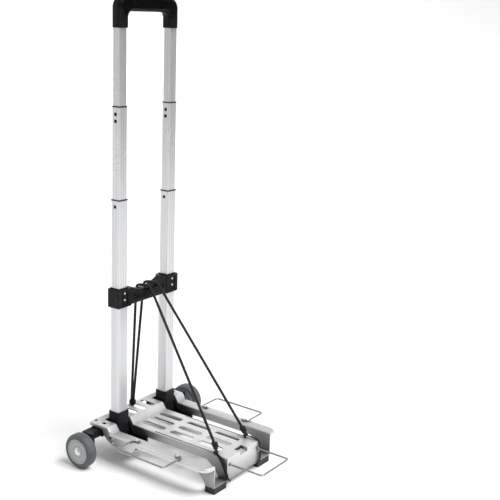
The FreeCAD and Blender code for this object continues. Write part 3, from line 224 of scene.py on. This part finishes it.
def steel(name, dark, light, rough_low, rough_high):
    n = Nodes(name)
    scratches = n.noise(1.0, 4.0, 0.7, n.stretched((900, 60, 900)))
    patches = n.noise(120, 4.0)
    colour = n.blend_colours(patches, dark, light)
    return n.finish(colour, n.spread(scratches, rough_low, rough_high), n.bump(scratches, 0.1, 0.0002),
                    Metallic=1.0)


def braided_cover(name, around, along, base, thread):
    """A braid of threads on a tube's own UV map: u goes round once, v is metres along."""
    n = Nodes(name)
    uv = n.coords.outputs["UV"]
    weave = []
    for turn in (around, -around):
        separate = n.node("ShaderNodeSeparateXYZ", 0, Vector=uv).node
        slanted = n.node("ShaderNodeMath", 0, {"operation": "MULTIPLY"}, i0=separate.outputs[0], i1=turn)
        run = n.node("ShaderNodeMath", 0, {"operation": "MULTIPLY"}, i0=separate.outputs[1], i1=along)
        total = n.node("ShaderNodeMath", 0, {"operation": "ADD"}, i0=slanted, i1=run)
        wave = n.node("ShaderNodeMath", 0, {"operation": "SINE"},
                      i0=n.node("ShaderNodeMath", 0, {"operation": "MULTIPLY"}, i0=total, i1=2 * math.pi))
        weave.append(wave)
    height = n.node("ShaderNodeMath", 0, {"operation": "MAXIMUM"}, i0=weave[0], i1=weave[1])
    fibres = n.noise(2600, 2.0)
    colour = n.blend_colours(n.spread(height, 0.2, 0.8, 0.0, 1.0), base, thread)
    normal = n.bump(fibres, 0.25, 0.0002, n.bump(height, 0.7, 0.0004))
    return n.finish(colour, n.spread(fibres, 0.55, 0.75), normal, Sheen_Weight=0.05, Specular_IOR_Level=0.25)


DECK, TUBE = deck_aluminium(), tube_aluminium()
HANDLE_PLASTIC = moulded("handle_plastic", (0.0015, 0.0015, 0.0017), (0.003, 0.003, 0.0033), 0.2, 0.3)
BLACK_PLASTIC = moulded("black_plastic", (0.0015, 0.0015, 0.0018), (0.0035, 0.0035, 0.004), 0.22, 0.34)
FOOT_PLASTIC = moulded("foot_rubber", (0.006, 0.006, 0.006), (0.011, 0.011, 0.011), 0.5, 0.65, 900, 0.4)
HUB_PLASTIC = moulded("hub_plastic", (0.25, 0.26, 0.265), (0.30, 0.31, 0.315), 0.35, 0.48, 1200, 0.2, 0.4)
TYRE = tyre_rubber()
PLATED = steel("plated_steel", (0.62, 0.62, 0.61), (0.80, 0.80, 0.79), 0.22, 0.42)
WIRE = steel("wire_steel", (0.30, 0.30, 0.31), (0.46, 0.46, 0.47), 0.25, 0.42)
BRAID = braided_cover("braided_cover", 8, 330, (0.006, 0.006, 0.007), (0.022, 0.022, 0.024))
THIN_BRAID = braided_cover("thin_braided_cover", 5, 600, (0.006, 0.006, 0.007), (0.020, 0.020, 0.022))

NODE_MATERIALS = (
    (("deck",), DECK), (("outer_tube", "lower_tube", "middle_tube", "upper_tube"), TUBE),
    (("handle_front", "handle_back", "release_button"), HANDLE_PLASTIC), (("foot",), FOOT_PLASTIC),
    (("hinge_pins", "arm_pivot", "bracket_rivets", "crossbar_screws", "handle_screws",
      "push_rods", "button_spring", "axle_bolt", "bearings"), PLATED),
    (("wing", "front_wire"), WIRE), (("tyre",), TYRE), (("hub",), HUB_PLASTIC),
)
for name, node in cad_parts.items():
    finish = next((material for starts, material in NODE_MATERIALS if name.startswith(starts)), BLACK_PLASTIC)
    if not node.material_slots:
        node.data.materials.append(finish)
    for held in node.material_slots:
        held.material = finish


# ---------------------------------------------------------------- mesh helpers
def new_object(name, data, material, body):
    piece = bpy.data.objects.new(name, data)
    bpy.context.scene.collection.objects.link(piece)
    data.materials.append(material)
    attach(piece, body)
    return piece


def smooth_mesh(name, points, faces, uvs=None):
    mesh = bpy.data.meshes.new(name)
    mesh.from_pydata([tuple(point) for point in points], [], faces)
    if uvs:
        layer = mesh.uv_layers.new(name="along")
        for loop in mesh.loops:
            layer.data[loop.index].uv = uvs[loop.vertex_index]
    mesh.validate()
    mesh.shade_smooth()
    return mesh


def lathe(name, profile, centre, axis, around=128):
    """Turns (radius, along) points, in millimetres, about an axis through centre."""
    axis = Vector(axis).normalized()
    first = axis.orthogonal().normalized()
    second = axis.cross(first)
    points, faces = [], []
    for step in range(around):
        turn = 2 * math.pi * step / around
        outward = first * math.cos(turn) + second * math.sin(turn)
        points += [centre + outward * radius / 1000 + axis * along / 1000 for radius, along in profile]
    count = len(profile)
    for step in range(around):
        here, there = step * count, (step + 1) % around * count
        faces += [(here + i, there + i, there + i + 1, here + i + 1) for i in range(count - 1)]
    return smooth_mesh(name, points, faces)


def crease_by_angle(piece, degrees=32):
    for polygon in piece.data.polygons:
        polygon.use_smooth = True
    piece.data.set_sharp_from_angle(angle=math.radians(degrees))


def rounded(corners, radius, steps=4):
    """An open outline of (radius, along) points with its inner corners rounded off."""
    result = [corners[0]]
    for before, corner, after in zip(corners, corners[1:], corners[2:]):
        before, here, after = Vector(before), Vector(corner), Vector(after)
        to_before, to_after = before - here, after - here
        cut = min(radius, to_before.length * 0.45, to_after.length * 0.45)
        start, end = here + to_before.normalized() * cut, here + to_after.normalized() * cut
        for step in range(steps + 1):
            t = step / steps
            point = start * (1 - t) ** 2 + here * 2 * t * (1 - t) + end * t ** 2
            result.append((point.x, point.y))
    result.append(corners[-1])
    return result


def spline_points(name, points):
    """Points along the smooth line that has the route's points as its controls."""
    curve = bpy.data.curves.new(name, "CURVE")
    curve.dimensions = "3D"
    spline = curve.splines.new("NURBS")
    spline.points.add(len(points) - 1)
    for control, place in zip(spline.points, points):
        control.co = (*place, 1)
    spline.order_u = 3
    spline.use_endpoint_u = True
    spline.resolution_u = 24
    holder = bpy.data.objects.new(name, curve)
    bpy.context.scene.collection.objects.link(holder)
    bpy.context.view_layer.update()
    mesh = bpy.data.meshes.new_from_object(holder.evaluated_get(bpy.context.evaluated_depsgraph_get()))
    places = [vertex.co.copy() for vertex in mesh.vertices]
    bpy.data.objects.remove(holder)
    bpy.data.curves.remove(curve)
    return places


def tube_mesh(name, path, radius, around=14, close=True):
    """A round tube along a path, with a UV map: once round, and metres along."""
    tangents = []
    for number, point in enumerate(path):
        ahead, behind = path[min(number + 1, len(path) - 1)], path[max(number - 1, 0)]
        tangents.append((ahead - behind).normalized())
    side = tangents[0].orthogonal().normalized()
    points, uvs, run = [], [], 0.0
    for number, (point, tangent) in enumerate(zip(path, tangents)):
        side = (side - tangent * side.dot(tangent)).normalized()
        across = tangent.cross(side)
        run += (point - path[max(number - 1, 0)]).length
        for step in range(around + 1):
            turn = 2 * math.pi * step / around
            points.append(point + (side * math.cos(turn) + across * math.sin(turn)) * radius)
            uvs.append((step / around, run))
    ring = around + 1
    faces = [(number * ring + step, number * ring + step + 1,
              (number + 1) * ring + step + 1, (number + 1) * ring + step)
             for number in range(len(path) - 1) for step in range(around)]
    if close:
        for start, reverse in ((0, True), ((len(path) - 1) * ring, False)):
            loop = [start + step for step in range(around)]
            faces.append(loop[::-1] if reverse else loop)
    return smooth_mesh(name, points, faces, uvs)


# ---------------------------------------------------------------- elastic cords
CORD_RADIUS, TAIL_RADIUS = 0.003, 0.00125
KNOT_LENGTH, KNOT_TURNS, KNOT_STRAND, KNOT_CORE = 0.020, 3.6, 0.0028, 0.0026
BALL_SIZE, BALL_STRAND = 0.00125, 0.0021
CORDS = {
    "left": {
        "cord": [(-4.2, 30, 94), (-7.5, 16.9, 342), (-7.6, 14.9, 371.5), (-5.6, 10.2, 377.8),
                 (-0.5, -15.2, 377.8), (1.4, -20, 372.5), (-5.0, -46, 342), (-51.5, -245.5, 92)],
        "tails": [[(-57.5, -257, 71.5), (-60.5, -265, 67), (-61.8, -276, 55), (-61.8, -291, 28),
                   (-59, -292.5, 18), (-53, -292, 17.5)],
                  [(-57.5, -257, 71.5), (-60.5, -268, 70), (-61.8, -279.5, 57), (-61.8, -294, 29),
                   (-59, -295, 16.5), (-53, -294.4, 15.6)]]},
    "right": {
        "cord": [(2.2, 30, 94), (15.2, 16.9, 344), (16.9, 14.9, 373.5), (18.2, 10.2, 379.8),
                 (25.8, -15.2, 380.4), (27.2, -20, 375.5), (29.3, -46, 344), (48.5, -245.5, 92)],
        "tails": [[(51, -257, 71.5), (52.8, -272, 69.6), (54, -288, 69.2), (55.2, -292.6, 62),
                   (57, -292.6, 28), (55.5, -292.3, 18), (50, -292, 17)],
                  [(51, -257, 71.5), (55.6, -272, 69.4), (56.4, -288, 69.0), (57.2, -292.9, 60),
                   (59.6, -293, 30), (57.5, -292.6, 16.5), (51, -292.4, 15.2)]]},
}


def knot_mesh(name, start, end, ball):
    """A barrel knot: turns of cord laid side by side round the cord's end, then a small ball knot."""
    axis = (end - start).normalized()
    side = axis.orthogonal().normalized()
    across = axis.cross(side)
    length = (end - start).length
    coil, last = [], 139
    for step in range(last + 1):
        t = step / last
        swell = 0.0034 + 0.0007 * math.sin(math.pi * t)
        angle = 2 * math.pi * KNOT_TURNS * t
        drift = KNOT_STRAND + (length - 2 * KNOT_STRAND) * (t + 0.018 * math.sin(9 * t))
        coil.append(start + axis * drift + (side * math.cos(angle) + across * math.sin(angle)) * swell)
    meshes = [tube_mesh(name + "_coil", coil, KNOT_STRAND, 12),
              tube_mesh(name + "_core", [start, end], KNOT_CORE, 12)]
    knotted = []
    for step in range(97):
        a = 2 * math.pi * step / 96
        local = Vector((math.sin(a) + 2 * math.sin(2 * a), math.cos(a) - 2 * math.cos(2 * a),
                        -1.6 * math.sin(3 * a))) * BALL_SIZE
        knotted.append(ball + side * local.x + across * local.y + axis * local.z)
    meshes.append(tube_mesh(name + "_ball", knotted, BALL_STRAND, 10, close=False))
    return meshes


def join_meshes(name, meshes):
    """One mesh out of several, with their UV maps."""
    points, faces, uvs = [], [], []
    for mesh in meshes:
        start = len(points)
        points += [vertex.co.copy() for vertex in mesh.vertices]
        held = [(0.0, 0.0)] * len(mesh.vertices)
        layer = mesh.uv_layers[0].data
        for loop in mesh.loops:
            held[loop.vertex_index] = tuple(layer[loop.index].uv)
        uvs += held
        faces += [[start + index for index in polygon.vertices] for polygon in mesh.polygons]
        bpy.data.meshes.remove(mesh)
    return smooth_mesh(name, points, faces, uvs)


for side_name in SIDES:
    routes = {"cord": [on_mast(*point) for point in CORDS[side_name]["cord"]],
              "tails": [[on_mast(*point) for point in strand] for strand in CORDS[side_name]["tails"]]}
    strands = [tube_mesh("strand", spline_points("strand", strand), TAIL_RADIUS, 10)
               for strand in routes["tails"]]
    tail = new_object("tail_" + side_name, join_meshes("tail_" + side_name, strands), THIN_BRAID,
                      "base")
    before, end = routes["cord"][-2:]
    along = (end - before).normalized()
    knot_name = "knot_" + side_name
    wraps = knot_mesh(knot_name, end, end + along * KNOT_LENGTH, routes["tails"][0][0])
    knot = new_object(knot_name, join_meshes(knot_name, wraps), BRAID, "base")
    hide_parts("cord_knot_" + side_name)
    path = spline_points("cord_line_" + side_name, routes["cord"])
    cord = bpy.data.objects.new("elastic_cord_" + side_name,
                                tube_mesh("elastic_cord_" + side_name, path, CORD_RADIUS, 16))
    bpy.context.scene.collection.objects.link(cord)
    cord.data.materials.append(BRAID)
    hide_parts("cord_" + side_name)
    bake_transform(cord)

TOGGLE_OUTLINE = rounded([
    (0.0, 0), (6.6, 0), (7.9, -2), (7.9, -4), (6.9, -5), (7.9, -6), (7.9, -8.4), (6.4, -10.3),
    (3.2, -10.6), (3.0, -24)], 1.2)
toggle_top = Vector((-0.001, MAST_Y + 0.030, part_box("cord_anchor")[1].z))
toggle = new_object("cord_toggle", lathe("cord_toggle", TOGGLE_OUTLINE, toggle_top, (0, 0, 1), 64),
                    BLACK_PLASTIC, "base")
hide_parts("cord_anchor")


# ---------------------------------------------------------------- wheels
def tyre_outline(rim, radius, wide):
    """A tyre with a flat tread and round shoulders, as (radius, place along the axle)."""
    side = radius - 4.6
    return rounded([(rim, 0.6), (rim + 1.6, 0.1), (side, 0.1), (radius - 0.5, 4.4), (radius - 0.08, 9),
                    (radius - 0.03, wide - 9), (radius - 0.5, wide - 4.4), (side, wide - 0.1),
                    (rim + 1.6, wide - 0.1), (rim, wide - 0.6), (rim, 0.6)], 2.6, 6)


def hub_outline(rim, wide):
    """The hub's turned face: a rim bead, a fine groove, a raised ring and a boss round the bolt."""
    return rounded([
        (11.2, 1.4), (rim - 0.6, 1.4), (rim, 2.2), (rim, wide - 1.3), (rim - 0.4, wide - 0.7),
        (rim - 2.4, wide - 0.7), (rim - 2.7, wide - 2.4), (rim - 3.5, wide - 2.4), (rim - 3.8, wide - 1.1),
        (rim - 6.8, wide - 1.1), (rim - 7.1, wide - 2.0), (rim - 7.8, wide - 2.0), (rim - 8.1, wide - 1.4),
        (13.2, wide - 1.9), (12.9, wide - 2.7), (12.2, wide - 2.7), (11.9, wide - 1.6), (8.2, wide - 1.6),
        (7.8, wide - 2.5), (5.0, wide - 2.7)], 0.35, 3)


for side_name, side in SIDES.items():
    low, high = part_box("tyre_" + side_name)
    hub_low, hub_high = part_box("hub_" + side_name)
    centre = Vector((low.x if side > 0 else high.x, (low.y + high.y) / 2, (low.z + high.z) / 2))
    wide, radius = (high.x - low.x) * 1000, (high.z - low.z) * 500
    rim = (hub_high.z - hub_low.z) * 500
    outlines = {"tyre": tyre_outline(rim + 0.1, radius, wide), "hub": hub_outline(rim, wide),
                "bolt": rounded([(5.1, wide - 3), (5.1, wide - 0.9), (4.0, wide + 0.5), (2.3, wide + 0.6),
                                 (2.2, wide - 0.8), (0.0, wide - 0.9)], 0.6, 4)}
    for kind, name, finish, slot, body in (
            ("tyre", "tyre_skin_", TYRE, "tyre", "wheel_"),
            ("hub", "hub_face_", HUB_PLASTIC, "hub_plastic", "wheel_"),
            ("bolt", "axle_head_", PLATED, "plated_steel", "wheel_arm_")):
        mesh = lathe(name + side_name, outlines[kind], centre, (side, 0, 0), 160)
        piece = new_object(name + side_name, mesh, finish, body + side_name)
        crease_by_angle(piece, 40)
        if kind != "bolt":
            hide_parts(f"{kind}_{side_name}")


# ---------------------------------------------------------------- rivets of the skirts
for side_name, side in SIDES.items():
    face = DECK_HIGH.x if side > 0 else DECK_LOW.x
    for name, behind, height, size in (("upper", -31.5, 61, 2.6), ("lower", -30, 49.5, 3.2)):
        place = on_mast(0, behind, height)
        place.x = face
        dome = rounded([(size, -0.4), (size, 0.35), (size * 0.7, 0.9), (0.0, 1.15)], 0.4, 3)
        new_object(f"skirt_rivet_{name}_{side_name}", lathe("rivet", dome, place, (side, 0, 0), 32),
                   PLATED, "base")


# ---------------------------------------------------------------- the button's spring
SPRING_TURNS, SPRING_WIRE, BUTTON_TRAVEL = 7, 0.0004, 0.004


def button_spring():
    """A coil in the place of the CAD sleeve."""
    low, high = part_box("button_spring")
    turns, wire, steps, travel = SPRING_TURNS, SPRING_WIRE, 24, BUTTON_TRAVEL
    radius, tall = (high.x - low.x) / 2 - wire, high.z - low.z - 2 * wire
    x, y = (low.x + high.x) / 2, (low.y + high.y) / 2
    path = []
    for step in range(turns * steps + 1):
        turn = 2 * math.pi * step / steps
        path.append(Vector((x + radius * math.cos(turn), y + radius * math.sin(turn),
                            low.z + wire + tall * step / (turns * steps))))
    coil = new_object("spring_coil", tube_mesh("spring_coil", path, wire, 8), PLATED,
                      "upper_stage")
    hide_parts("button_spring")
    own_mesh(coil)


button_spring()


# ---------------------------------------------------------------- screws in the clamps' windows
# The photograph shows a bright spot in each window; that these are screw heads is a guess.
CLAMP_SCREW_DROPS, CLAMP_RECESS = {"upper": 0.009, "lower": 0.024}, 0.001
clamp_low, clamp_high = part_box("crossbar_front")
for side_name in SIDES:
    low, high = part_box("outer_tube_" + side_name)
    for name, drop in CLAMP_SCREW_DROPS.items():
        head = rounded([(2.45, -1.5), (2.45, 0.5), (1.8, 1.1), (0.0, 1.3)], 0.5, 3)
        place = Vector(((low.x + high.x) / 2, clamp_low.y + CLAMP_RECESS, clamp_high.z - drop))
        new_object(f"clamp_screw_{name}_{side_name}", lathe("screw", head, place, (0, -1, 0), 32),
                   PLATED, "mast")


# ---------------------------------------------------------------- light and floor
SKY = 0.56
SUN, SUN_SPREAD, SUN_FROM = 2.9, 36, (0.22, -0.72, 1.15)
# x, y, width and turn about Z in degrees
DARK_CARDS = ((-4.2, 2.2, 2.6, 65), (-4.6, -0.9, 1.6, 96), (-3.4, -3.4, 1.8, 135), (0.9, -4.6, 1.3, 185),
              (3.6, -3.4, 1.8, 225))


sun = bpy.data.objects.new("sun", bpy.data.lights.new("sun", "SUN"))
sun.data.energy, sun.data.angle = SUN, math.radians(SUN_SPREAD)
sun.rotation_euler = Vector(SUN_FROM).to_track_quat("Z", "Y").to_euler()
bpy.context.scene.collection.objects.link(sun)


def studio(radius, corner, height):
    """A pale plain floor that curves up into a low wall all round."""
    profile = [(0.0, 0.0), (radius - corner, 0.0)]
    for step in range(1, 17):
        turn = math.pi / 2 * step / 16
        profile.append((radius - corner + corner * math.sin(turn), corner - corner * math.cos(turn)))
    profile.append((radius, height))
    mesh = lathe("floor", [(r * 1000, z * 1000) for r, z in profile], Vector((0, 0, 0)), (0, 0, 1), 96)
    floor = bpy.data.objects.new("floor", mesh)
    bpy.context.scene.collection.objects.link(floor)
    tone = Nodes("floor")
    floor.data.materials.append(tone.finish(
        tone.blend_colours(tone.noise(0.8), (0.92, 0.92, 0.92), (0.935, 0.935, 0.935)), 0.7,
        Specular_IOR_Level=0.1))


def dark_card(name, place, wide, high, turn):
    """A dark upright card out of view, which gives the bright metal something to mirror."""
    mesh = bpy.data.meshes.new(name)
    mesh.from_pydata([(-wide / 2, 0, 0), (wide / 2, 0, 0), (wide / 2, 0, high), (-wide / 2, 0, high)],
                     [], [(0, 1, 2, 3)])
    card = bpy.data.objects.new(name, mesh)
    bpy.context.scene.collection.objects.link(card)
    card.location, card.rotation_euler = place, (0, 0, math.radians(turn))
    tone = Nodes(name)
    mesh.materials.append(tone.finish(
        tone.blend_colours(tone.noise(2.0), (0.03, 0.03, 0.03), (0.05, 0.05, 0.05)), 0.8))


studio(7.0, 2.5, 4.0)
for number, (x, y, wide, turn) in enumerate(DARK_CARDS):
    dark_card(f"card_{number}", (x, y, 0.02), wide, 2.6, turn)

world = bpy.data.worlds.new("studio")
world.use_nodes = True
world.node_tree.nodes["Background"].inputs["Color"].default_value = (1, 1, 1, 1)
world.node_tree.nodes["Background"].inputs["Strength"].default_value = SKY
bpy.context.scene.world = world
bpy.context.scene.view_settings.view_transform = "Standard"
